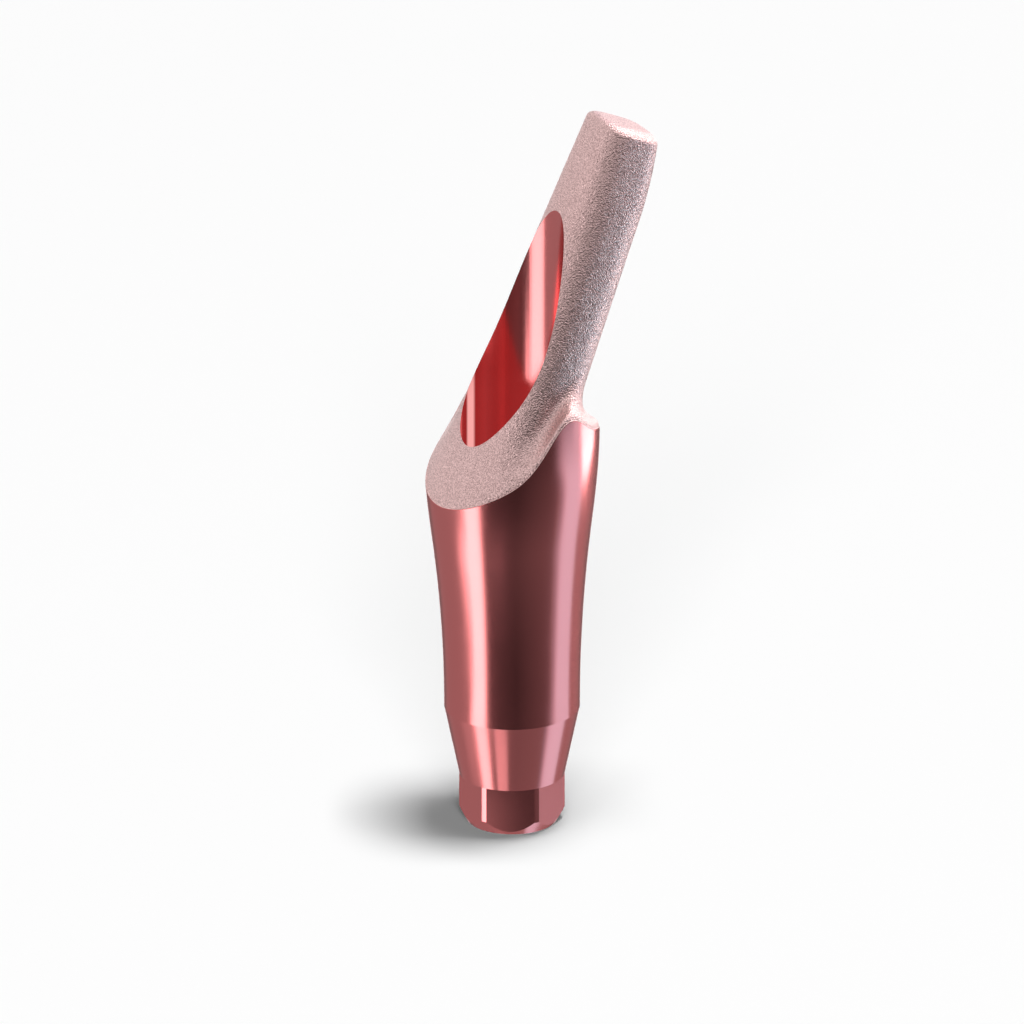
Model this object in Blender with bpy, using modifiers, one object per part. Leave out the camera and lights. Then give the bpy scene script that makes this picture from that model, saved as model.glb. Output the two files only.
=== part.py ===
"""Angled dental abutment, machined in one piece.

Frame: origin at the centre of the hex end face, +Z up the implant axis, the post leaning toward +X.
"Facial" is -X, the side the screw channel opens on; "lingual" is +X; angles are counted from facial.
The hexagon is 2.1 mm across flats, and every other size is in proportion to it.
"""
import math
import bpy
import bmesh
import numpy as np

MM = 0.001
NAME = "angled_abutment"

# hexagonal end
hex_af = 2.10 * MM
hex_corner_d = 2.36 * MM
hex_len = 1.12 * MM
hex_chamfer_len = 0.30 * MM
hex_chamfer_deg = 30.0
hex_overlap = 0.40 * MM

# tapered seat above the hexagon
cone_foot_d = 2.365 * MM
cone_len = 1.62 * MM
cone_half_deg = 11.7

# flared collar, its flare ending lower on the facial side
collar_d = 3.915 * MM
flare_len = 5.44 * MM
flare_skew = 0.32 * MM
flare_blend = 0.165 * MM

# scalloped margin line
margin_facial_z = 7.95 * MM
margin_side_z = 9.55 * MM
margin_lingual_z = 9.19 * MM
margin_side_deg = 134.7
margin_peak_h = 0.81 * MM
margin_peak_deg = 101.4
margin_peak_width_deg = 21.2

# shoulder between the margin and the post
land_facial = 0.30 * MM
land_side = 0.03 * MM
land_lingual = 0.16 * MM
rise_facial = 1.20 * MM
rise_side = 0.36 * MM
rise_lingual = 0.50 * MM
rim_round_facial = 0.28 * MM
rim_round_side = 0.10 * MM
rim_round_lingual = 0.14 * MM
foot_round_facial = 0.45 * MM
foot_round_side = 0.55 * MM
foot_round_lingual = 0.40 * MM

# tilted post
post_tilt_deg = 23.4
post_root_z = 9.40 * MM
post_len = 7.34 * MM
post_depth_root = 1.92 * MM
post_depth_tip = 1.80 * MM
post_width_root = 2.98 * MM
post_width_tip = 1.57 * MM
post_squareness = 2.6
tip_round = 0.17 * MM
tip_face_deg = 1.0
back_bend_start = 5.4 * MM
back_bend = 0.26 * MM

# stepped screw channel on the implant axis
channel_d = 2.305 * MM
seat_z = 3.60 * MM
through_d = 1.70 * MM
cut_clear = 1.0 * MM

SEGMENTS = 96


def smoothstep(t):
    t = min(max(t, 0.0), 1.0)
    return (1.0 - math.cos(math.pi * t)) / 2.0


def mix(a, b, t):
    return a + (b - a) * t


def three_way(facial, side, lingual, d):
    """Value for an angle d from facial, given its values there, at the sides and at lingual."""
    if d < 90.0:
        return mix(facial, side, smoothstep(d / 90.0))
    return mix(side, lingual, smoothstep((d - 90.0) / 90.0))


def facial_angle(delta):
    """Unsigned angle in degrees away from the facial direction."""
    d = math.degrees(delta) % 360.0
    return min(d, 360.0 - d)


def margin_z(delta):
    d = facial_angle(delta)
    base = mix(margin_facial_z, margin_side_z, smoothstep(d / margin_side_deg))
    past = smoothstep((d - margin_side_deg) / (180.0 - margin_side_deg))
    base = base - (margin_side_z - margin_lingual_z) * past
    bump = math.exp(-((d - margin_peak_deg) / margin_peak_width_deg) ** 2)
    return base + margin_peak_h * bump


def cone_top_r():
    return cone_foot_d / 2 + cone_len * math.tan(math.radians(cone_half_deg))


def collar_r(delta, z):
    """Parabolic flare from the seat's top edge, blended into the collar's cylinder."""
    r0 = cone_top_r()
    r1 = collar_d / 2
    length = flare_len - flare_skew * math.cos(delta)
    t = max(z - hex_len - cone_len, 0.0) / length
    flare = r0 + (r1 - r0) * t * t
    h = max(flare_blend - abs(flare - r1), 0.0) / flare_blend
    return min(flare, r1) - h * h * flare_blend / 4


def ring_point(delta, r, z):
    return np.array([-r * math.cos(delta), -r * math.sin(delta), z])


def post_point(delta, s, shrink=0.0, drop=0.0):
    """Point on the post: delta round its own axis, s along it from where it crosses the implant axis."""
    tilt = math.radians(post_tilt_deg)
    k = s / post_len
    depth = mix(post_depth_root, post_depth_tip, k) / 2
    width = mix(post_width_root, post_width_tip, k) / 2
    bend = max(s - back_bend_start, 0.0) / (post_len - back_bend_start)
    c = math.cos(delta)
    back = depth - back_bend * bend * bend if c < 0 else depth
    back = back - shrink
    width = width - shrink
    n = post_squareness
    rho = ((abs(c) / back) ** n + (abs(math.sin(delta)) / width) ** n) ** (-1.0 / n)
    w = -rho * c
    v = -rho * math.sin(delta)
    s = s - drop - w * math.tan(math.radians(tip_face_deg)) * max(k, 0.0) ** 4
    return np.array([s * math.sin(tilt) + w * math.cos(tilt), v,
                     post_root_z + s * math.cos(tilt) - w * math.sin(tilt)])


def post_s_at(delta, z):
    """Station along the post whose surface stands at height z for this delta."""
    lo = -3.0 * MM
    hi = post_len
    for _ in range(40):
        mid = (lo + hi) / 2
        if post_point(delta, mid)[2] < z:
            lo = mid
        else:
            hi = mid
    return (lo + hi) / 2


def bezier(a, b, c, t):
    return a * (1 - t) ** 2 + b * 2 * t * (1 - t) + c * t * t


def shoulder_column(delta):
    """Points from the margin line over the rim, down the ledge and up into the post's side."""
    d = facial_angle(delta)
    zm = margin_z(delta)
    land = three_way(land_facial, land_side, land_lingual, d)
    rise = three_way(rise_facial, rise_side, rise_lingual, d)
    rim_round = three_way(rim_round_facial, rim_round_side, rim_round_lingual, d)
    foot_round = three_way(foot_round_facial, foot_round_side, foot_round_lingual, d)
    r = collar_r(delta, zm)
    m = ring_point(delta, r, zm)
    rim = ring_point(delta, r, zm + land)
    s = post_s_at(delta, zm + rise)
    foot = post_point(delta, s)
    along = (foot - rim) / np.linalg.norm(foot - rim)
    reach = np.linalg.norm(foot - rim)
    share = min(1.0, 0.9 * reach / (rim_round + foot_round))
    rim_out = rim_round * share
    foot_in = foot_round * share
    rim_a = rim + (m - rim) * min(rim_round / land, 0.85)
    rim_b = rim + along * rim_out
    foot_a = foot - along * foot_in
    foot_b = post_point(delta, s + foot_round)
    column = [m]
    for t in (0.0, 0.25, 0.5, 0.75, 1.0):
        column.append(bezier(rim_a, rim, rim_b, t))
    for t in (0.0, 0.2, 0.4, 0.6, 0.8, 1.0):
        column.append(bezier(foot_a, foot, foot_b, t))
    return column, s + foot_round


def skin_rings():
    """All rings of the turned and milled skin from the seat's foot to the tip face."""
    deltas = [2 * math.pi * (i + 0.5) / SEGMENTS for i in range(SEGMENTS)]
    z0 = hex_len
    z1 = hex_len + cone_len
    rings = [[ring_point(d, cone_foot_d / 2, z0) for d in deltas],
             [ring_point(d, cone_top_r(), z1) for d in deltas]]
    for k in range(1, 12):
        u = k / 12.0
        rings.append([ring_point(d, collar_r(d, mix(z1, margin_z(d), u)), mix(z1, margin_z(d), u))
                      for d in deltas])
    columns = [shoulder_column(d) for d in deltas]
    for k in range(len(columns[0][0])):
        rings.append([c[0][k] for c in columns])
    join = max(c[1] for c in columns) + 0.3 * MM
    for u in (0.5, 1.0):
        rings.append([post_point(d, mix(c[1], join, u)) for d, c in zip(deltas, columns)])
    straight_end = post_len - tip_round
    for k in range(1, 11):
        u = k / 10.0
        rings.append([post_point(d, mix(join, straight_end, u)) for d in deltas])
    for a in (22.5, 45.0, 67.5, 90.0):
        shrink = tip_round * (1 - math.cos(math.radians(a)))
        s = straight_end + tip_round * math.sin(math.radians(a))
        rings.append([post_point(d, s, shrink) for d in deltas])
    return rings


def link(name, mesh, collection):
    obj = bpy.data.objects.new(name, mesh)
    collection.objects.link(obj)
    return obj


def turned(name, profile, collection):
    """Solid turned about Z from (r, z) points that run down its outer side, axis to axis."""
    bm = bmesh.new()
    verts = [bm.verts.new((r, 0.0, z)) for r, z in profile]
    for pair in zip(verts, verts[1:]):
        bm.edges.new(pair)
    mesh = bpy.data.meshes.new(name)
    bm.to_mesh(mesh)
    bm.free()
    obj = link(name, mesh, collection)
    screw = obj.modifiers.new("turn", "SCREW")
    screw.axis = "Z"
    screw.steps = SEGMENTS
    screw.render_steps = SEGMENTS
    screw.use_merge_vertices = True
    screw.merge_threshold = 1e-6
    return obj


def boolean(obj, other, operation):
    mod = obj.modifiers.new(operation.lower(), "BOOLEAN")
    mod.operation = operation
    mod.solver = "EXACT"
    mod.object = other


def helper(obj):
    obj.hide_render = True
    obj.display_type = "WIRE"
    return obj


def build_skin(collection):
    """Loft from the turned seat through the scalloped margin to the tilted post."""
    bm = bmesh.new()
    rows = [[bm.verts.new(p) for p in ring] for ring in skin_rings()]
    for lower, upper in zip(rows, rows[1:]):
        for i in range(SEGMENTS):
            j = (i + 1) % SEGMENTS
            bm.faces.new((lower[i], lower[j], upper[j], upper[i]))
    bm.faces.new(rows[0][::-1])
    bm.faces.new(rows[-1])
    bmesh.ops.recalc_face_normals(bm, faces=bm.faces)
    mesh = bpy.data.meshes.new(NAME)
    bm.to_mesh(mesh)
    bm.free()
    return link(NAME, mesh, collection)


def build_hex(collection):
    """Hexagonal prism with a flat square to +X, rising into the tapered seat."""
    bm = bmesh.new()
    corner_r = hex_af / 2 / math.cos(math.radians(30.0))
    height = hex_len + hex_overlap
    bmesh.ops.create_cone(bm, cap_ends=True, segments=6, radius1=corner_r, radius2=corner_r, depth=height)
    bmesh.ops.translate(bm, verts=bm.verts, vec=(0, 0, height / 2))
    mesh = bpy.data.meshes.new("hex_prism")
    bm.to_mesh(mesh)
    bm.free()
    return link("hex_prism", mesh, collection)


def hex_trim_profile():
    corner_r = hex_corner_d / 2
    end_r = corner_r - hex_chamfer_len * math.tan(math.radians(hex_chamfer_deg))
    top = hex_len + hex_overlap
    return [(0.0, top), (corner_r, top), (corner_r, hex_chamfer_len), (end_r, 0.0), (0.0, 0.0)]


def channel_profile():
    """Screw channel, flat seat and through hole as one cutter."""
    top = post_root_z + post_len + cut_clear
    return [(0.0, top), (channel_d / 2, top), (channel_d / 2, seat_z),
            (through_d / 2, seat_z), (through_d / 2, -cut_clear), (0.0, -cut_clear)]


def anodised_titanium():
    mat = bpy.data.materials.new("rose_anodised_titanium")
    mat.use_nodes = True
    shader = mat.node_tree.nodes["Principled BSDF"]
    shader.inputs["Base Color"].default_value = (0.62, 0.30, 0.31, 1.0)
    shader.inputs["Metallic"].default_value = 1.0
    shader.inputs["Roughness"].default_value = 0.3
    return mat


def main():
    for obj in list(bpy.data.objects):
        bpy.data.objects.remove(obj, do_unlink=True)
    scene = bpy.context.scene
    parts = bpy.data.collections.new(NAME)
    cutters = bpy.data.collections.new(NAME + "_cutters")
    scene.collection.children.link(parts)
    scene.collection.children.link(cutters)

    body = build_skin(parts)
    prism = helper(build_hex(cutters))
    trim = helper(turned("hex_trim", hex_trim_profile(), cutters))
    channel = helper(turned("screw_channel", channel_profile(), cutters))
    boolean(prism, trim, "INTERSECT")
    boolean(body, prism, "UNION")
    boolean(body, channel, "DIFFERENCE")

    graph = bpy.context.evaluated_depsgraph_get()
    mesh = bpy.data.meshes.new_from_object(body.evaluated_get(graph))
    body.modifiers.clear()
    body.data = mesh
    mesh.shade_smooth()
    mesh.set_sharp_from_angle(angle=math.radians(20.0))
    mesh.materials.clear()
    mesh.materials.append(anodised_titanium())


main()
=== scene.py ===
# %% [markdown]
# # Dressing an angled dental abutment
# An abutment is the small metal post that joins a dental implant to a crown. This one is turned and
# milled from a single bar of titanium, then anodised rose. Its lower end, a hexagon under a slim cone,
# drops into the implant. Above that a collar flares out to the width of the gum, and a tilted post
# carries the crown. A screw channel runs down through it and opens on the front of the post.
# The imported model is loaded first as a fixed frame.

# %% Load the fixed frame
import math
import bpy
import bmesh
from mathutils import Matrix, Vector


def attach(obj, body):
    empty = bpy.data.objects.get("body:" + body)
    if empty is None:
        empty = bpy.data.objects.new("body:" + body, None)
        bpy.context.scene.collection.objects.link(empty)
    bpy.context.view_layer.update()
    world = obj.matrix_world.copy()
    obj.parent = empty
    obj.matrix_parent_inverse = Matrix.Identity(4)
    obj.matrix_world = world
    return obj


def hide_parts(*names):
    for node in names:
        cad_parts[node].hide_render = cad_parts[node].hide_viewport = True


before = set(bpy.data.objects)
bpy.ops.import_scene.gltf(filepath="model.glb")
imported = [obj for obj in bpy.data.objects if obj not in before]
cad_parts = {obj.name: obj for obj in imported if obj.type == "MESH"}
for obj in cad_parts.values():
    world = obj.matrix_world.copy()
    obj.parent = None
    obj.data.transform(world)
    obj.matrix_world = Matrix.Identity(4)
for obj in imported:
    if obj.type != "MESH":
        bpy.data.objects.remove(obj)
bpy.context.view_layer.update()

print("nodes:", sorted(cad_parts))

# %% [markdown]
# ## One skin, ring by ring
# The real blank is turned on a lathe, so its lower part is round, and the shoulder and the post are
# then milled. A stack of circles follows both kinds of cut: each circle's points are moved to where
# the metal's surface is at that height, and neighbouring circles are bridged into a band of faces.
# A subdivision surface would round off the crisp edges between the bands, so the circles are simply
# close together. The work is done in millimetres, and one scaling at the end makes it metres.
# Angles go round from the facial side, which is the side that the screw channel opens on.

# %% Circles that are moved into place and bridged
columns = 256
POLISHED, BLASTED, BORED = 0, 1, 2
finishes = [bpy.data.materials.new(name + "_rose_titanium")
            for name in ("polished", "blasted", "bored")]


def add_ring(skin, place):
    """A circle of points, each moved to the place that its angle from facial calls for."""
    verts = bmesh.ops.create_circle(skin, segments=columns, radius=1.0)["verts"]
    for number, vert in enumerate(verts):
        vert.co = place(2 * math.pi * (number + 0.5) / columns)
    return [skin.edges.get(pair) for pair in zip(verts, verts[1:] + verts[:1])]


def add_bands(skin, lower, places, finish):
    """Bridges a row of new circles on to the lower one, all in one finish, and returns the last."""
    for place in places:
        upper = add_ring(skin, place)
        for face in bmesh.ops.bridge_loops(skin, edges=lower + upper)["faces"]:
            face.material_index = finish
        lower = upper
    return lower


def mix(a, b, share):
    """The value that share of the way from a to b."""
    return a + (b - a) * share


def smoothstep(share):
    """Turns an even share from 0 to 1 into one that starts and stops gently."""
    share = min(max(share, 0.0), 1.0)
    return (1.0 - math.cos(math.pi * share)) / 2.0


def facial_angle(delta):
    """Unsigned angle in degrees away from the facial direction."""
    degrees = math.degrees(delta) % 360.0
    return min(degrees, 360.0 - degrees)


def round_point(delta, radius, z):
    """A point on the turned part, at that radius from the implant axis."""
    return Vector((-radius * math.cos(delta), -radius * math.sin(delta), z))


print("one column of faces every", round(360 / columns, 2), "degrees")

# %% [markdown]
# ## The scalloped margin line
# The margin is the line where the crown ends and the gum begins. Gums are lower on the facial side
# and rise between the teeth, so the line is a scallop: low in front, higher at the back, with a small
# peak on each side. It could be drawn by hand as a curve, but one height for each angle is enough,
# and every ring above and below then follows the same line.

# %% Height of the margin round the collar
margin_facial_z = 7.95
margin_side_z = 9.55
margin_lingual_z = 9.19
margin_side_deg = 134.7
margin_peak_h = 0.81
margin_peak_deg = 101.4
margin_peak_width_deg = 21.2


def margin_z(delta):
    """Height of the margin at that angle."""
    away = facial_angle(delta)
    base = mix(margin_facial_z, margin_side_z, smoothstep(away / margin_side_deg))
    past = smoothstep((away - margin_side_deg) / (180.0 - margin_side_deg))
    base -= (margin_side_z - margin_lingual_z) * past
    return base + margin_peak_h * math.exp(-((away - margin_peak_deg) / margin_peak_width_deg) ** 2)


print("margin height in mm every 30 degrees:",
      [round(margin_z(math.radians(a)), 2) for a in range(0, 181, 30)])

# %% [markdown]
# ## Cone and flared collar
# The cone seals against the implant. Above it the collar starts slim and flares out in a long curve,
# so that the gum can close round it. On the lathe both are one pass of the tool. The flare's radius
# grows with the square of the height, and is blended into a short cylinder before the margin.

# %% Radius of the collar, and the turned part of the skin
hex_len = 1.12
cone_foot_r = 2.365 / 2
cone_len = 1.62
cone_top_z = hex_len + cone_len
cone_half_deg = 11.7
cone_top_r = cone_foot_r + cone_len * math.tan(math.radians(cone_half_deg))
collar_r_full = 3.915 / 2
flare_len = 5.44
flare_skew = 0.32
flare_blend = 0.165


def collar_r(delta, z):
    """Radius of the flared collar at that angle and height."""
    length = flare_len - flare_skew * math.cos(delta)
    share = max(z - cone_top_z, 0.0) / length
    flare = mix(cone_top_r, collar_r_full, share * share)
    near = max(flare_blend - abs(flare - collar_r_full), 0.0) / flare_blend
    return min(flare, collar_r_full) - near * near * flare_blend / 4


lip = 0.026
flare_rings = 40


def cone_foot(delta):
    return round_point(delta, cone_foot_r, hex_len)


def cone_top(delta):
    return round_point(delta, cone_top_r, cone_top_z)


def flare_ring(share):
    """A ring of the collar, that share of the way from the cone's top to just below the margin."""
    def place(delta):
        z = mix(cone_top_z, margin_z(delta) - lip, share)
        return round_point(delta, collar_r(delta, z), z)
    return place


skin = bmesh.new()
foot_ring = add_ring(skin, cone_foot)
last = add_bands(skin, foot_ring, [cone_top], POLISHED)
last = add_bands(skin, last, [flare_ring(k / flare_rings) for k in range(1, flare_rings + 1)],
                 POLISHED)
print("turned part:", len(skin.faces), "faces, collar", round(2 * collar_r_full, 2), "mm wide")

# %% [markdown]
# ## The tilted post
# The crown is cemented on the post. It leans back by 23.4 degrees to bring the crown into line with
# the other teeth. Its section is neither round nor square, so a superellipse describes it: the power
# 2 would be an ellipse, and 2.6 has the flatter sides that the milling cutter leaves. The post tapers
# upward so that the crown slides on. Near the tip its back bends in, and the section grows squarer
# and a little slimmer. Sizes in brackets are given at the root and at the tip.

# %% A point on the post's side
post_tilt = math.radians(23.4)
post_root_z = 9.40
post_len = 7.36
post_depth = (1.92, 1.80)
post_width = (2.98, 1.57)
post_squareness = (2.6, 3.15)
post_square_start = 4.6
post_tip_slimming = 0.955
back_bend_start = 5.4
back_bend = 0.26
tip_round = (0.17, 0.34, 0.24)
tip_face_slope = math.tan(math.radians(1.0))
deepest_station = -3.0
halvings = 40


def post_point(delta, along, drawn_in=0.0):
    """The post's surface at that angle, a distance along its own axis from the implant axis, drawn
    in by this share of the tip's round, which has its own size facially, at the sides and behind."""
    share = along / post_len
    bend = max(along - back_bend_start, 0.0) / (post_len - back_bend_start)
    facial_in, side_in, lingual_in = [drawn_in * size for size in tip_round]
    c = math.cos(delta)
    if c < 0:
        depth = mix(*post_depth, share) / 2 - back_bend * bend * bend - lingual_in
    else:
        depth = mix(*post_depth, share) / 2 - facial_in
    width = mix(*post_width, share) / 2 - side_in
    square = smoothstep((along - post_square_start) / (post_len - post_square_start))
    power = mix(*post_squareness, square)
    reach = ((abs(c) / depth) ** power + (abs(math.sin(delta)) / width) ** power) ** (-1.0 / power)
    reach *= mix(1.0, post_tip_slimming, square)
    across = -reach * c
    along -= across * tip_face_slope * max(share, 0.0) ** 4
    return Vector((along * math.sin(post_tilt) + across * math.cos(post_tilt), -reach * math.sin(delta),
                   post_root_z + along * math.cos(post_tilt) - across * math.sin(post_tilt)))


def post_station(delta, z):
    """How far along the post its surface reaches height z at this angle, found by halving."""
    low, high = deepest_station, post_len
    for _ in range(halvings):
        middle = (low + high) / 2
        if post_point(delta, middle).z < z:
            low = middle
        else:
            high = middle
    return (low + high) / 2


tip = post_point(math.pi, post_len)
print("post tip at", [round(v, 2) for v in tip], "mm")

# %% [markdown]
# ## The shoulder
# Between the margin and the post lies the shoulder, the ledge that carries the crown's edge. A ball
# cutter leaves it soft: the rim is rounded over, and a hollow round leads up into the post. One
# profile swept round the part would not do, because the ledge is wide in front and nearly gone at
# the sides. So each angle gets its own column of points: up a narrow land that leans in, over the
# rim on a quadratic curve, across, and up the hollow on a second curve. The collar ends in a tiny
# rounded lip. Its upper part is blasted with the shoulder, so the margin is a clean pale edge.
# Sizes in brackets are given at the front, at the sides and at the back.

# %% One column of the shoulder
land = (0.22, 0.07, 0.16)
land_lean = (0.55, 0.30, 0.0)
rise = (1.20, 0.36, 0.50)
rim_round = (0.24, 0.11, 0.14)
rim_side_deg = 70.0
foot_round = (0.45, 0.55, 0.40)
rim_steps = 9
hollow_steps = 14
most_of_land = 0.85
most_of_ledge = 0.9


def three_way(values, away, side_deg=90.0):
    """A value at this angle from facial, given its values in front, at the sides and at the back."""
    facial, side, lingual = values
    if away < side_deg:
        return mix(facial, side, smoothstep(away / side_deg))
    return mix(side, lingual, smoothstep((away - side_deg) / (180.0 - side_deg)))


def curve_point(a, b, c, share):
    """A point on the quadratic curve from a to c that heads for b."""
    return a * (1 - share) ** 2 + b * 2 * share * (1 - share) + c * share * share


def shoulder_column(delta):
    """The lip, rim and hollow at one angle, and how far up the post they reach."""
    away = facial_angle(delta)
    z = margin_z(delta)
    outer = collar_r(delta, z)
    lip_points = [round_point(delta, outer - lip * (1 - math.cos(a)), z - lip * (1 - math.sin(a)))
                  for a in (math.pi / 6, math.pi / 3, math.pi / 2)]
    radius = outer - lip
    land_here = three_way(land, away, rim_side_deg)
    margin = round_point(delta, radius, z)
    lean = land_here * three_way(land_lean, away, rim_side_deg)
    rim = round_point(delta, radius - lean, z + land_here)
    station = post_station(delta, z + three_way(rise, away))
    foot = post_point(delta, station)
    across = foot - rim
    over = three_way(rim_round, away, rim_side_deg)
    hollow = three_way(foot_round, away)
    share = min(1.0, most_of_ledge * across.length / (over + hollow))
    rim_start = rim + (margin - rim) * min(over / land_here, most_of_land)
    rim_end = rim + across.normalized() * over * share
    foot_start = foot - across.normalized() * hollow * share
    foot_end = post_point(delta, station + hollow)
    rim_points = [curve_point(rim_start, rim, rim_end, k / rim_steps)
                  for k in range(rim_steps + 1)]
    foot_points = [curve_point(foot_start, foot, foot_end, k / hollow_steps)
                   for k in range(hollow_steps + 1)]
    return lip_points, rim_points + foot_points, station + hollow


columns_made = {}


def column_at(delta):
    """The column at one angle, worked out once and kept."""
    if delta not in columns_made:
        columns_made[delta] = shoulder_column(delta)
    return columns_made[delta]


def lip_ring(number):
    """One ring of the lip, from the lowest."""
    return lambda delta: column_at(delta)[0][number]


def shoulder_ring(number):
    """One ring of the rim and hollow, from the lowest."""
    return lambda delta: column_at(delta)[1][number]


last = add_bands(skin, last, [lip_ring(0)], POLISHED)
last = add_bands(skin, last, [lip_ring(1), lip_ring(2)], BLASTED)
shoulder_count = rim_steps + hollow_steps + 2
last = add_bands(skin, last, [shoulder_ring(k) for k in range(shoulder_count)], BLASTED)
print("shoulder:", shoulder_count, "rings")

# %% [markdown]
# ## Up the post and over its tip
# From the hollow the rings straighten out until they lie square to the post. The last ones follow
# the round that is polished on to the tip so that nothing catches. It is a quarter of an ellipse,
# which draws in more at the sides than it drops, and a bevel would give it the same width all round.
# The two open ends are closed with one flat face each.

# %% Post, tip round and end faces
tip_drop = (0.16, 0.21, 0.23)
leaving_rings, straight_rings, tip_rings = 4, 24, 12
clear_of_hollow = 0.3
join = max(column[2] for column in columns_made.values()) + clear_of_hollow


def leaving_ring(share):
    """A ring on the post, that share of the way from the hollow's end to the join."""
    return lambda delta: post_point(delta, mix(column_at(delta)[2], join, share))


def straight_ring(share):
    """A ring of the post, that share of the way from the join to where the tip's round begins."""
    def place(delta):
        round_start = post_len - three_way(tip_drop, facial_angle(delta))
        return post_point(delta, mix(join, round_start, share))
    return place


def tip_ring(angle):
    """A ring of the tip's round, that far along its quarter turn."""
    def place(delta):
        down = three_way(tip_drop, facial_angle(delta)) * (1 - math.sin(angle))
        return post_point(delta, post_len - down, 1 - math.cos(angle))
    return place


last = add_bands(skin, last, [leaving_ring(k / leaving_rings) for k in range(1, leaving_rings + 1)],
                 BLASTED)
last = add_bands(skin, last, [straight_ring(k / straight_rings) for k in range(1, straight_rings + 1)],
                 BLASTED)
last = add_bands(skin, last, [tip_ring(math.radians(90 * k / tip_rings))
                              for k in range(1, tip_rings + 1)], BLASTED)
for face in bmesh.ops.edgeloop_fill(skin, edges=last)["faces"]:
    face.material_index = BLASTED
bmesh.ops.edgeloop_fill(skin, edges=foot_ring)
bmesh.ops.recalc_face_normals(skin, faces=skin.faces)
print("closed skin:", len(skin.faces), "faces, volume", round(skin.calc_volume(), 1), "mm3")

# %% [markdown]
# ## Hexagon and screw channel
# The hexagon keeps the abutment from turning in the implant. It is milled from a turned end, so its
# corners are part of a cylinder and its foot has a turned chamfer: a six-sided prism and a spun solid
# share what both contain. The channel for the screw is a wide bore, a flat seat for the screw's head
# and a narrower hole below, all spun as one cutter and taken out of the body. Exact Booleans do
# these cuts, as the milling and drilling do on the real part.

# %% Spun solids and Boolean cuts
hex_af = 2.10
hex_corner_r = 2.36 / 2
hex_chamfer_len = 0.30
hex_chamfer_deg = 30.0
hex_end_r = hex_corner_r - hex_chamfer_len * math.tan(math.radians(hex_chamfer_deg))
hex_overlap = 0.40
hex_top = hex_len + hex_overlap
prism_r = hex_af / 2 / math.cos(math.radians(30))
channel_r = 2.305 / 2
through_r = 1.70 / 2
seat_z = 3.60
cut_clear = 1.0
channel_top = post_root_z + post_len + cut_clear
spin_steps = 192
merge_mm = 1e-5


def bench_object(name, bm, materials=()):
    """A mesh object made from bm, with these materials in its slots."""
    mesh = bpy.data.meshes.new(name)
    bm.to_mesh(mesh)
    bm.free()
    for material in materials:
        mesh.materials.append(material)
    made = bpy.data.objects.new(name, mesh)
    bpy.context.scene.collection.objects.link(made)
    return made


def spun_solid(name, profile, finish=POLISHED):
    """Spins an outline of (radius, height) points, from axis to axis, into a closed solid."""
    bm = bmesh.new()
    verts = [bm.verts.new((radius, 0.0, z)) for radius, z in profile]
    edges = [bm.edges.new(pair) for pair in zip(verts, verts[1:])]
    bmesh.ops.spin(bm, geom=verts + edges, cent=(0, 0, 0), axis=(0, 0, 1), dvec=(0, 0, 0),
                   angle=2 * math.pi, steps=spin_steps, use_merge=True, use_duplicate=False)
    bmesh.ops.remove_doubles(bm, verts=bm.verts, dist=merge_mm)
    bmesh.ops.recalc_face_normals(bm, faces=bm.faces)
    for face in bm.faces:
        face.material_index = finish
    return bench_object(name, bm, finishes)


def cut(body, tool, operation):
    """Joins, cuts or keeps the shared part of two solids, and puts the result in the body's mesh."""
    step = body.modifiers.new(operation, "BOOLEAN")
    step.operation = operation
    step.solver = "EXACT"
    step.object = tool
    graph = bpy.context.evaluated_depsgraph_get()
    result = bpy.data.meshes.new_from_object(body.evaluated_get(graph))
    body.modifiers.clear()
    body.data = result
    bpy.data.objects.remove(tool)


prism_bm = bmesh.new()
bmesh.ops.create_cone(prism_bm, cap_ends=True, segments=6, radius1=prism_r, radius2=prism_r,
                      depth=hex_top)
bmesh.ops.translate(prism_bm, verts=prism_bm.verts, vec=(0, 0, hex_top / 2))
prism = bench_object("hexagon", prism_bm, finishes)
turned_end = [(0, hex_top), (hex_corner_r, hex_top), (hex_corner_r, hex_chamfer_len),
              (hex_end_r, 0), (0, 0)]
cut(prism, spun_solid("hexagon_turning", turned_end), "INTERSECT")
body = bench_object("abutment_in_mm", skin, finishes)
cut(body, prism, "UNION")
channel = [(0, channel_top), (channel_r, channel_top), (channel_r, seat_z),
           (through_r, seat_z), (through_r, -cut_clear), (0, -cut_clear)]
cut(body, spun_solid("screw_channel", channel, BORED), "DIFFERENCE")
print("after the cuts:", len(body.data.polygons), "faces")

# %% [markdown]
# ## The finished piece
# The bench mesh is brought to metres, slivers that the cuts left are merged, and every edge that
# turns by more than 9.5 degrees is kept crisp while the rest is shaded smooth. The rim, the hollow
# and the tip's round turn in smaller steps, so they stay smooth, and the cone's shallow edge stays
# crisp. A Bevel modifier could soften the crisp edges, but the real ones are sharp to the eye.
# The piece is kept out of diffuse bounces, so that it doesn't tint the pale table pink.

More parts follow.
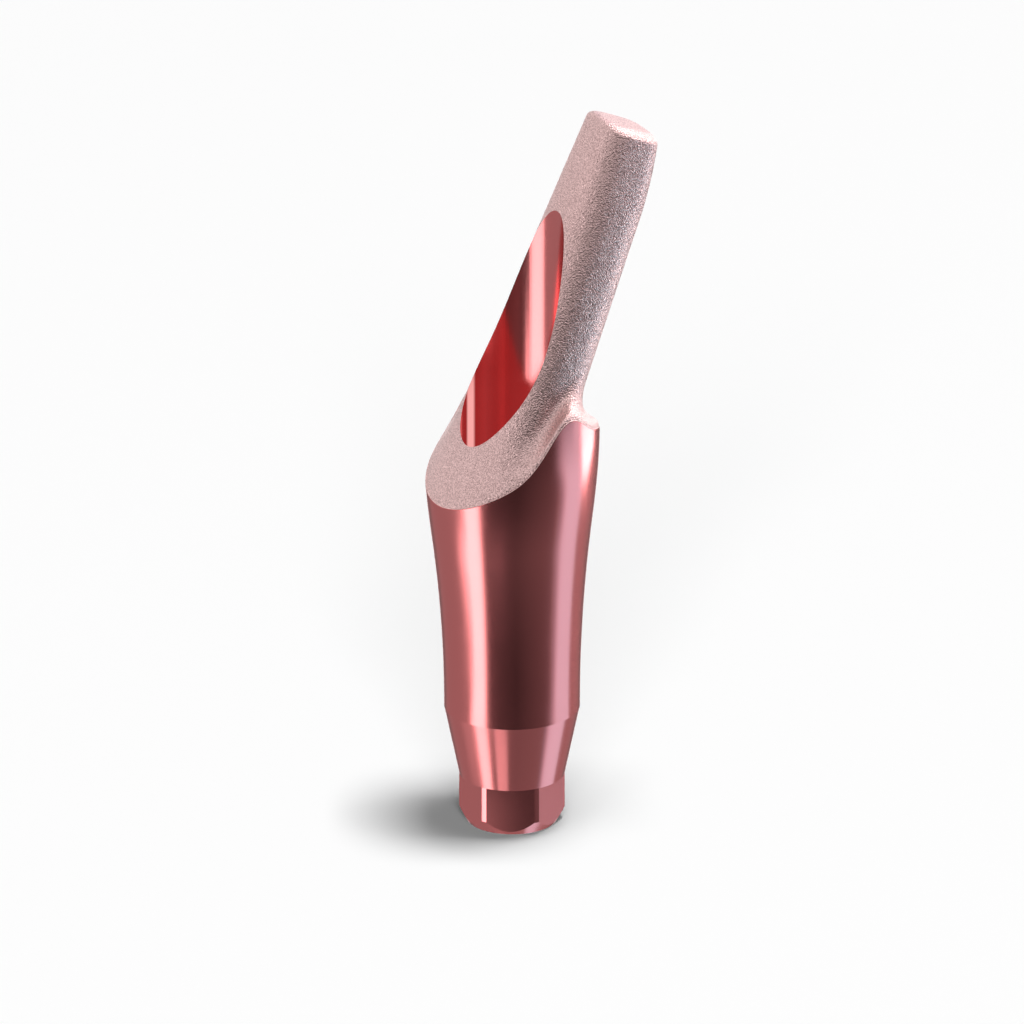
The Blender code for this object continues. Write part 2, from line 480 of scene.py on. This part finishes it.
# %% Scale, clean and hand over to the frame
weld_mm, sliver_mm = 0.0005, 0.0002
crisp_deg = 9.5
metres = 0.001
piece_bm = bmesh.new()
piece_bm.from_mesh(body.data)
bpy.data.objects.remove(body)
bmesh.ops.remove_doubles(piece_bm, verts=piece_bm.verts, dist=weld_mm)
bmesh.ops.dissolve_degenerate(piece_bm, edges=piece_bm.edges, dist=sliver_mm)
bmesh.ops.scale(piece_bm, verts=piece_bm.verts, vec=(metres, metres, metres))
open_edges = sum(1 for edge in piece_bm.edges if not edge.is_manifold)
volume = piece_bm.calc_volume() / metres ** 3
piece = bench_object("machined_abutment", piece_bm, finishes)
piece.data.shade_smooth()
piece.data.set_sharp_from_angle(angle=math.radians(crisp_deg))
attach(piece, "root")
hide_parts("angled_abutment")
piece.visible_diffuse = False
piece.data.calc_loop_triangles()
print("machined_abutment:", len(piece.data.loop_triangles), "triangles,", open_edges, "open edges,",
      round(volume, 1), "mm3")

# %% [markdown]
# ## Polished rose titanium
# Anodising grows a clear oxide whose thickness gives the colour, so the metal itself reflects rose:
# a metallic shader with a rose base colour, and no paint layer. Where the surface turns away the
# colour pales, but the oxide keeps it from going white, and the shader's tint for glancing angles
# holds it to a light rose. Polishing leaves the metal smooth but not a mirror, which is why the
# strips of light in it have soft edges. Real polish is never quite even, so a slow noise moves the
# roughness a little. A bump would show as dents in such a surface, so there is none.

# %% Node helpers and the polished finish
def add_node(tree, kind, **settings):
    """Adds a node, with its plain settings by name and its input values by socket name."""
    node = tree.nodes.new(kind)
    for name, value in settings.items():
        if name == "inputs":
            for socket, number in value.items():
                node.inputs[socket].default_value = number
        else:
            setattr(node, name, value)
    return node


def metal(finish, colour, edge_tint):
    """Makes a finish metallic with that base colour and tint at glancing angles, and gives its node
    tree, its shader and its Object coordinates."""
    material = finishes[finish]
    material.use_nodes = True
    tree = material.node_tree
    shader = tree.nodes["Principled BSDF"]
    shader.inputs["Base Color"].default_value = (*colour, 1.0)
    shader.inputs["Metallic"].default_value = 1.0
    shader.inputs["Specular Tint"].default_value = (*edge_tint, 1.0)
    place = add_node(tree, "ShaderNodeTexCoord")
    return tree, shader, place.outputs["Object"]


rose, rose_at_edge = (0.70, 0.205, 0.205), (0.92, 0.72, 0.72)
tree, shader, place = metal(POLISHED, rose, rose_at_edge)
cloudy = add_node(tree, "ShaderNodeTexNoise", inputs={"Scale": 700.0, "Detail": 3.0})
spread = add_node(tree, "ShaderNodeMapRange",
                  inputs={"From Min": 0.3, "From Max": 0.7, "To Min": 0.17, "To Max": 0.21})
tree.links.new(place, cloudy.inputs["Vector"])
tree.links.new(cloudy.outputs["Fac"], spread.inputs["Value"])
tree.links.new(spread.outputs["Result"], shader.inputs["Roughness"])


def faces_in(finish):
    """How many faces of the piece have this finish."""
    return sum(1 for face in piece.data.polygons if face.material_index == finish)


print("polished finish on", faces_in(POLISHED), "faces")

# %% [markdown]
# ## The screw channel's wall and its painted glow
# The channel has the same rose skin. Inside it, light bounces from wall to wall and takes on more of
# the metal's red each time, which is why its depth looks deep red. A renderer gives up after a few
# bounces and would leave the depth black. So the wall gets a painted red glow of its own, an emission
# that stands in for that bounced light, in four steps that all read the Object coordinates:
# 1. The painted glow is full below the opening and fades out where daylight reaches in.
# 2. On one side, which faces away from the light, the painted glow goes on up to the top.
# 3. Round the channel the glow is painted a little darker in one place, as painted shade, and a
#    little lighter in another, as painted light, and one narrow streak is a painted pale highlight,
#    where a band of daylight would slide down the wall.
# 4. The painted streak ends before the screw's seat, because daylight doesn't get that deep.
# More light bounces would be truer, but they cost much time and still find no daylight there.

# %% The painted glow's height, and its painted shade, light and highlight round the channel
# Painted light: the wall's emission stands in for bounced light inside the channel, and is full below
# these heights.
painted_glow_full_z, painted_glow_none_z = 0.0097, 0.0124
# The painted highlight streak, a pale emission on the wall, fades out between these two heights.
painted_streak_full_z, painted_streak_none_z = 0.0068, 0.0045
side_glow_deg = (43.0, 57.0)
side_glow_share = 0.85
painted_bounce_red = (0.11, 0.015, 0.015, 1)
# Pale colour of the painted highlight streak.
painted_highlight_streak = (0.75, 0.40, 0.38, 1)
# Painted shade and painted light: a darker and a lighter red for the glow at two angles round the
# channel.
painted_shade_red = (0.088, 0.012, 0.012, 1)
painted_light_red = (0.135, 0.022, 0.022, 1)
painted_glow_colours = [(-180, painted_bounce_red), (58, painted_bounce_red), (68, painted_shade_red), (82, painted_bounce_red), (93, painted_light_red),
                (107, painted_bounce_red), (111, painted_highlight_streak), (120, painted_highlight_streak), (124, painted_bounce_red),
                (180, painted_bounce_red)]
print("glow fades from", painted_glow_full_z, "to", painted_glow_none_z, "m, with", len(painted_glow_colours), "colours round")

# %% The bored finish: where on the wall a point is
tree, shader, place = metal(BORED, rose, rose_at_edge)
shader.inputs["Roughness"].default_value = 0.19
split = add_node(tree, "ShaderNodeSeparateXYZ")
wall_angle = add_node(tree, "ShaderNodeMath", operation="ARCTAN2")
whole_turn = add_node(tree, "ShaderNodeMapRange", inputs={"From Min": -math.pi, "From Max": math.pi})
painted_glow_ramp = add_node(tree, "ShaderNodeValToRGB")
stops = painted_glow_ramp.color_ramp.elements
for number, (degrees, colour) in enumerate(painted_glow_colours):
    share = (degrees + 180) / 360
    stop = stops[number] if number < 2 else stops.new(share)
    stop.position = share
    stop.color = colour
tree.links.new(place, split.inputs["Vector"])
tree.links.new(split.outputs["Y"], wall_angle.inputs[0])
tree.links.new(split.outputs["X"], wall_angle.inputs[1])
tree.links.new(wall_angle.outputs["Value"], whole_turn.inputs["Value"])
tree.links.new(whole_turn.outputs["Result"], painted_glow_ramp.inputs["Fac"])
print("wall colours at shares", [round(stop.position, 3) for stop in stops])

# %% The bored finish: the painted glow's colour and strength
# These colours and strengths drive the wall's emission, a painted glow, painted shade and painted
# highlight rather than a lamp.
painted_streak_depth = add_node(tree, "ShaderNodeMapRange", interpolation_type="SMOOTHSTEP",
                        inputs={"From Min": painted_streak_none_z, "From Max": painted_streak_full_z})
painted_glow_mix = add_node(tree, "ShaderNodeMix", data_type="RGBA")
deep_glow_colour, upper_glow_colour = [socket for socket in painted_glow_mix.inputs if socket.type == "RGBA"]
mixed_glow_colour = [socket for socket in painted_glow_mix.outputs if socket.type == "RGBA"][0]
deep_glow_colour.default_value = painted_bounce_red
tree.links.new(split.outputs["Z"], painted_streak_depth.inputs["Value"])
tree.links.new(painted_streak_depth.outputs["Result"], painted_glow_mix.inputs["Factor"])
tree.links.new(painted_glow_ramp.outputs["Color"], upper_glow_colour)
tree.links.new(mixed_glow_colour, shader.inputs["Emission Color"])
depth_glow = add_node(tree, "ShaderNodeMapRange", interpolation_type="SMOOTHSTEP",
                      inputs={"From Min": painted_glow_full_z, "From Max": painted_glow_none_z,
                              "To Min": 1.0, "To Max": 0.0})
side_glow = add_node(tree, "ShaderNodeMapRange", interpolation_type="SMOOTHSTEP",
                     inputs={"From Min": math.radians(side_glow_deg[0]),
                             "From Max": math.radians(side_glow_deg[1]), "To Max": side_glow_share})
stronger = add_node(tree, "ShaderNodeMath", operation="MAXIMUM")
tree.links.new(split.outputs["Z"], depth_glow.inputs["Value"])
tree.links.new(wall_angle.outputs["Value"], side_glow.inputs["Value"])
tree.links.new(depth_glow.outputs["Result"], stronger.inputs[0])
tree.links.new(side_glow.outputs["Result"], stronger.inputs[1])
tree.links.new(stronger.outputs["Value"], shader.inputs["Emission Strength"])
print("bored finish on", faces_in(BORED), "faces")

# %% [markdown]
# ## Blasted rose titanium
# The shoulder and the post are blasted with fine grit so that cement can grip. Each grain leaves a
# pit about a thirtieth of a millimetre across, which scatters light: the surface is pale, matt and
# sparkles a little where it turns away. The pits are far too small and too many to model, so one
# noise at the grain's size drives a bump 19 thousandths of a millimetre deep. The same noise makes
# the colour uneven at random, and it also paints the pits darker and the crests lighter, a painted
# shade and painted light that make the grain show in flat light too. The shader's own base colour is
# their middle, for programs that read only plain colours.

# %% The blasted finish
grains_per_metre = 34000.0
pit_depth = 0.000019
pale_rose, white = (0.74, 0.51, 0.49), (1.0, 1.0, 1.0)
tree, shader, place = metal(BLASTED, pale_rose, white)
shader.inputs["Roughness"].default_value = 0.34
grain = add_node(tree, "ShaderNodeTexNoise", inputs={"Scale": grains_per_metre, "Detail": 0.0})
pits = add_node(tree, "ShaderNodeBump", inputs={"Strength": 1.0, "Distance": pit_depth})
shade = add_node(tree, "ShaderNodeValToRGB")
# Pits painted darker and crests lighter: partly random grain tone, partly painted shade and painted
# light.
pit_painted_shade, crest_painted_light = shade.color_ramp.elements
pit_painted_shade.position, pit_painted_shade.color = 0.3, (0.55, 0.36, 0.35, 1)
crest_painted_light.position, crest_painted_light.color = 0.7, (0.93, 0.635, 0.615, 1)
tree.links.new(place, grain.inputs["Vector"])
tree.links.new(grain.outputs["Fac"], pits.inputs["Height"])
tree.links.new(pits.outputs["Normal"], shader.inputs["Normal"])
tree.links.new(grain.outputs["Fac"], shade.inputs["Fac"])
tree.links.new(shade.outputs["Color"], shader.inputs["Base Color"])
print("blasted finish on", faces_in(BLASTED), "faces")

# %% [markdown]
# ## Camera
# The part is seen from the left of its lean, 28 degrees round and 22.5 degrees up. It is so small
# that a real camera would stand far off with a long lens, so that near and far parts are drawn at
# nearly the same scale. The lens is long for the same reason, and the distance sets the size.

# %% Camera at the photograph's angle
view_azimuth = math.radians(-28.0)
view_height = math.radians(22.5)
frame_width = 0.0228062
frame_middle = Vector((0, 0, 0.007369))
lens_mm = 1500.0
sensor_mm = 36.0
camera_data = bpy.data.cameras.new("camera")
camera_data.sensor_width = sensor_mm
camera_data.lens = lens_mm
camera = bpy.data.objects.new("camera", camera_data)
bpy.context.scene.collection.objects.link(camera)
distance = frame_width * lens_mm / sensor_mm
toward_camera = Vector((math.sin(view_azimuth) * math.cos(view_height),
                        -math.cos(view_azimuth) * math.cos(view_height), math.sin(view_height)))
camera.location = frame_middle + toward_camera * distance
camera.rotation_euler = (math.pi / 2 - view_height, 0, view_azimuth)
camera_data.clip_start = 0.05
camera_data.clip_end = 5.0
bpy.context.scene.camera = camera
print("camera", round(distance, 2), "m away")

# %% [markdown]
# ## Floor and soft light
# The part stands on a plain pale table. Most of the light comes from a soft box nearly overhead, a
# little to the right, so the shadow stays close to the foot and falls to the left. A weaker one
# stands straight above the camera, where its shadow falls behind the part, and the room itself fills
# in. A sun lamp could do this too, but an area lamp lets each box have its own width and length, and
# these set how fast the shadow softens. Each box gives a share of the plain level, and together with
# the room they come to about one, at which a colour renders as it is written.

# %% Floor, lamps and room light
table_grey = 0.95
table_half = 1.5
box_distance = 2.0
overhead_share, overhead_height = 0.82, 82.6
front_share, front_height = 0.31, 34.0
room_share = 0.07
floor_bm = bmesh.new()
bmesh.ops.create_grid(floor_bm, x_segments=1, y_segments=1, size=table_half)
floor_material = bpy.data.materials.new("pale_table")
floor_material.use_nodes = True
floor_shader = floor_material.node_tree.nodes["Principled BSDF"]
floor_shader.inputs["Base Color"].default_value = (table_grey, table_grey, table_grey, 1)
floor_shader.inputs["Roughness"].default_value = 0.9
floor_shader.inputs["Specular IOR Level"].default_value = 0.0
floor = bench_object("floor", floor_bm, [floor_material])
floor.visible_glossy = False


def soft_box(name, share, azimuth, height, wide, long):
    """A soft box two metres away that gives this share of the plain level, from that azimuth and
    height, and looks this wide and long from the part. All angles are in degrees."""
    lamp = bpy.data.lights.new(name, "AREA")
    lamp.shape = "RECTANGLE"
    lamp.size = 2 * box_distance * math.tan(math.radians(wide / 2))
    lamp.size_y = 2 * box_distance * math.tan(math.radians(long / 2))
    lamp.energy = share * (math.pi * box_distance) ** 2
    made = bpy.data.objects.new(name, lamp)
    turn, tilt = math.radians(azimuth), math.radians(90 - height)
    made.rotation_euler = (tilt, 0, turn)
    made.location = box_distance * Vector((math.sin(tilt) * math.sin(turn),
                                           -math.sin(tilt) * math.cos(turn), math.cos(tilt)))
    made.visible_glossy = False
    bpy.context.scene.collection.objects.link(made)


soft_box("overhead_soft_box", overhead_share, 62.0, overhead_height, 12.0, 16.0)
soft_box("front_soft_box", front_share, -28.0, front_height, 22.0, 14.0)
world = bpy.data.worlds.new("room")
world.use_nodes = True
bpy.context.scene.world = world
background = world.node_tree.nodes["Background"]
background.inputs["Color"].default_value = (1, 1, 1, 1)
background.inputs["Strength"].default_value = room_share
print("light level on the table", round(overhead_share * math.sin(math.radians(overhead_height))
                                        + front_share * math.sin(math.radians(front_height))
                                        + room_share, 2))

# %% [markdown]
# ## Cards for the metal to reflect
# Polished metal shows its surroundings and little else, so it is lit by what it reflects. A picture
# of a studio round the part would do it in one step, but cards can be moved one at a time, as the
# photographer moves them. A grey tent goes all round, and cards hang inside it: bright strips on the
# left, dark flags in front, a cool card on the right, and a streak between two flags for the back.
# Each turns into a long streak down the collar.
# The collar is seen from above and so reflects what is below its own height. The cards reach down
# past the table, which is left out of the metal's reflections. The table and the camera don't see
# the cards, and the lamps are left out of the reflections too, because the cards stand in for them.
# Each card lies on a sphere round the part and is given in rows, from the lowest up. The glow is
# stored on the mesh, so one card can shade from one end to the other and follow a bent edge.

# %% A card on a sphere round the part
camera_side = -90.0 + math.degrees(view_azimuth)


def only_in_metal(thing):
    """Keeps a tent or card for reflections alone, and out of the object."""
    thing.visible_camera = False
    thing.visible_diffuse = False
    thing.visible_shadow = False
    thing.visible_transmission = False


def glowing(name, colour):
    """A material that shines with this colour, as strongly as the mesh's own glow attribute says."""
    material = bpy.data.materials.new(name)
    material.use_nodes = True
    tree = material.node_tree
    tree.nodes.remove(tree.nodes["Principled BSDF"])
    emission = add_node(tree, "ShaderNodeEmission", inputs={"Color": (*colour, 1)})
    strength = add_node(tree, "ShaderNodeAttribute", attribute_name="glow")
    tree.links.new(strength.outputs["Fac"], emission.inputs["Strength"])
    tree.links.new(emission.outputs["Emission"], tree.nodes["Material Output"].inputs["Surface"])
    return material


def row_at(rows, height):
    """The card's left and right angle and its glow at both ends, at that height angle."""
    for low, high in zip(rows, rows[1:]):
        if height <= high[0]:
            share = (height - low[0]) / (high[0] - low[0])
            return [mix(a, b, share) for a, b in zip(low[1:], high[1:])]
    return rows[-1][1:]


def card(name, colour, rows, distance=100.0, centre=(0.0, 0.0, 8.0)):
    """A card on a sphere round the part, its distance and centre in mm. Each row, from the lowest up,
    gives a height angle, the left and right angle from the camera there, and the strength of the
    glow at the left and right end."""
    bm = bmesh.new()
    bmesh.ops.create_grid(bm, x_segments=16, y_segments=120, size=1.0)
    glow = bm.verts.layers.float.new("glow")
    for vert in bm.verts:
        across, up = (vert.co.x + 1) / 2, (vert.co.y + 1) / 2
        height = mix(rows[0][0], rows[-1][0], up)
        left, right, glow_left, glow_right = row_at(rows, height)
        rise, turn = math.radians(height), math.radians(camera_side + mix(left, right, across))
        vert[glow] = mix(glow_left, glow_right, across)
        out = Vector((math.cos(rise) * math.cos(turn), math.cos(rise) * math.sin(turn),
                      math.sin(rise)))
        vert.co = Vector(centre) + distance * out
    bmesh.ops.scale(bm, verts=bm.verts, vec=(metres, metres, metres))
    only_in_metal(bench_object(name, bm, [glowing(name + "_glow", colour)]))


def even_rows(edges, left_glow, right_glow):
    """Rows of a card from (height, left, right) edges, with the same two glows in every row."""
    return [(*edge, left_glow, right_glow) for edge in edges]


def cards_hung():
    """The names of the tent's and the other cards made so far."""
    return [thing.name for thing in bpy.data.objects
            if thing.type == "MESH" and not thing.visible_camera]


print("the camera stands", camera_side, "degrees round from +X")

# %% The tent
lilac = (1.0, 0.94, 1.07)
tent = 400
card("lower_tent", white, [(-90, -180, 180, 0.48, 0.48), (-17, -180, 180, 0.48, 0.48)], tent)
card("upper_left_tent", white, [(-17, -180, -90, 0.90, 0.84), (90, -180, -90, 1.0, 0.9)], tent)
card("front_left_tent", white, [(-17, -90, -20, 0.84, 0.62), (90, -90, -20, 0.9, 0.6)], tent)
card("front_right_tent", white, [(-17, -20, 60, 0.62, 0.60), (90, -20, 60, 0.6, 0.8)], tent)
card("upper_right_tent", lilac, [(-17, 60, 120, 0.44, 0.60), (90, 60, 120, 0.9, 1.1)], tent)
card("upper_back_tent", lilac, [(-17, 120, 180, 0.6, 1.0), (90, 120, 180, 1.1, 1.1)], tent)
print("the tent is", tent, "mm away, in", len(cards_hung()), "cards")

# %% Cards behind and above
behind = 300
card("back_card", white, [(-14, 136, 186, 2.3, 0.55), (14, 136, 186, 2.3, 0.55)], behind)
card("rear_streak", white, [(-60, 168, 192, 1.4, 1.4), (-14, 168, 192, 1.4, 1.4)], behind)
card("rear_flag_right", white, [(-60, 148, 168, 0.36, 0.20), (-14, 148, 168, 0.36, 0.20)], behind)
card("rear_flag_left", white, [(-60, 192, 212, 0.20, 0.36), (-14, 192, 212, 0.20, 0.36)], behind)
card("high_card", white, [(-5, 118, 146, 2.6, 2.2), (8, 106, 146, 2.8, 2.4), (30, 92, 150, 3.0, 3.0),
                          (60, 70, 170, 2.6, 2.6), (84, 40, 185, 2.3, 2.3)], distance=290)
print("with those behind and above:", len(cards_hung()), "cards")

# %% Bright strips on the left
card("left_strip", white, [(-75, -68, -52, 1.0, 1.0), (-42, -74, -49, 3.2, 3.0)]
     + even_rows([(-40, -80, -45), (-36, -75, -45), (-34.5, -72, -45), (-33, -69, -45), (-31, -66, -45),
                  (-28, -69, -45), (-24, -75, -45), (-17, -77, -45)], 3.5, 3.5))
card("left_strip_shelf", white, [(-20.5, -47, -31, 3.5, 3.5), (-13, -47, -31, 3.5, 3.5)], distance=30)
card("left_wing", white, [(-39, -108, -78, 0.6, 2.6), (-31, -84, -68, 0.6, 2.6)])
print("with the bright strips:", len(cards_hung()), "cards")

# %% Dark flags in front
card("front_flag_left", white, [(-50, -41, 8, 0.28, 0.22), (-34, -41, 8, 0.16, 0.12),
                                (-32, -41, 8, 0.11, 0.06), (-13, -41, 8, 0.10, 0.055)])
card("front_flag_right", white, [(-50, 8, 68, 0.22, 0.36), (-34, 8, 68, 0.12, 0.24),
                                 (-32, 8, 68, 0.06, 0.20), (-13, 8, 68, 0.055, 0.18)])
card("near_flag_left", white, [(-15, -44, 8, 0.08, 0.02), (17, -38, 8, 0.08, 0.02)], distance=20)
card("near_flag_right", white, [(-15, 8, 84, 0.02, 0.05), (17, 8, 80, 0.02, 0.05)], distance=20)
card("low_glint", white, [(-51, -35, -10, 1.2, 1.1), (-42, -35, -10, 1.9, 1.6)], distance=98)
print("with the dark flags:", len(cards_hung()), "cards")

# %% The cool card on the right, with a soft left edge
cool = 98
card("cool_edge", (0.60, 0.82, 0.95),
     even_rows([(-75, 66, 78), (-44, 66, 78), (-41.5, 65, 77), (-38, 67, 79), (-36, 69, 81),
                (-33, 71.5, 83), (-28, 72, 84), (-26, 69, 81), (-24, 65, 77), (-22.5, 61, 73),
                (-19, 52, 64)], 0.3, 2.1), cool)
card("cool_card", (0.52, 0.86, 1.0),
     even_rows([(-75, 77, 112), (-44, 77, 112), (-41.5, 76, 112), (-38, 78, 112), (-36, 80, 112),
                (-33, 82, 112), (-28, 83, 112), (-26, 80, 112), (-24, 76, 112), (-22.5, 72, 112),
                (-19, 63, 112)], 2.1, 2.1), cool)
print("with the cool card and its edge:", len(cards_hung()), "cards")

# %% Two small cards close to the part
card("near_card", white, [(-19.5, 108, 119, 4.5, 4.5), (-12, 100, 138, 7.0, 7.0)], distance=30,
     centre=(0, 0, 5))
card("hexagon_card", white, [(-9, -13, -2, 0.92, 0.0), (6, -13, -2, 0.92, 0.0)], distance=9,
     centre=(0, 0, -3.1))
print("cards:", cards_hung())

# %% [markdown]
# ## The view transform
# The picture is shown with the Standard view transform, so colours are neither graded nor
# compressed. The dressed piece has to stay in the CAD model's box.

# %% View transform and the last update
bpy.context.scene.view_settings.view_transform = "Standard"
bpy.context.view_layer.update()
